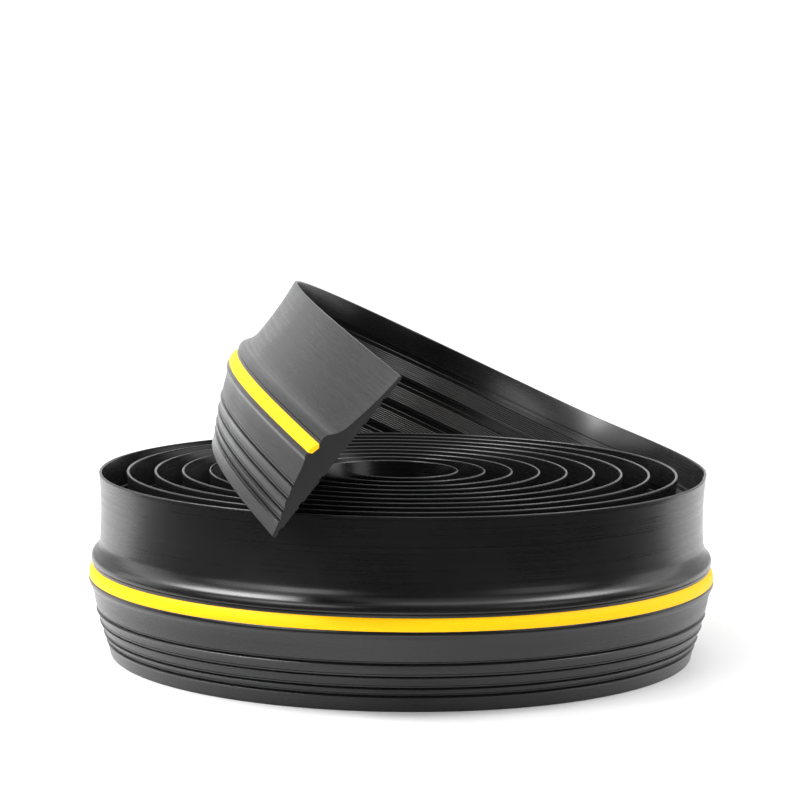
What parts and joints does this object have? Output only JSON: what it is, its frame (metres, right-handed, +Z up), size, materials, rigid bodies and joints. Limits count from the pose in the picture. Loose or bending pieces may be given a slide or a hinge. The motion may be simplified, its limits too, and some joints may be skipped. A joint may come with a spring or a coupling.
{
  "type": "threshold seal strip",
  "caption": "Coiled rubber threshold seal strip with a ramp profile, an inlaid yellow warning bead and its free end lifted back over the coil.",
  "frame": {"origin": "on the floor, under the middle of the whole part", "axes": "+Z up along the coil's axis, the free end's cut end points towards -Y, the outer turn leaves the coil at +X"},
  "size_m": [0.3451, 0.3962, 0.1974],
  "materials": {
    "black_rubber": "satin black extruded rubber, smooth on the ramp, fine die lines on the grooved slope and underside",
    "yellow_bead": "bright yellow extruded rubber, satin, lightly glossy on its crown"
  },
  "bodies": {
    "root": {"strip_free_end": "black_rubber", "strip_inner_end": "black_rubber", "strip_turn_1": "black_rubber", "strip_turn_2": "black_rubber", "strip_turn_3": "black_rubber", "strip_turn_4": "black_rubber", "strip_turn_5": "black_rubber", "strip_turn_6": "black_rubber", "strip_turn_7": "black_rubber", "strip_turn_8": "black_rubber", "strip_turn_9": "black_rubber", "stripe_free_end": "yellow_bead", "stripe_inner_end": "yellow_bead", "stripe_turn_1": "yellow_bead", "stripe_turn_2": "yellow_bead", "stripe_turn_3": "yellow_bead", "stripe_turn_4": "yellow_bead", "stripe_turn_5": "yellow_bead", "stripe_turn_6": "yellow_bead", "stripe_turn_7": "yellow_bead", "stripe_turn_8": "yellow_bead", "stripe_turn_9": "yellow_bead"}
  },
  "joints": []
}
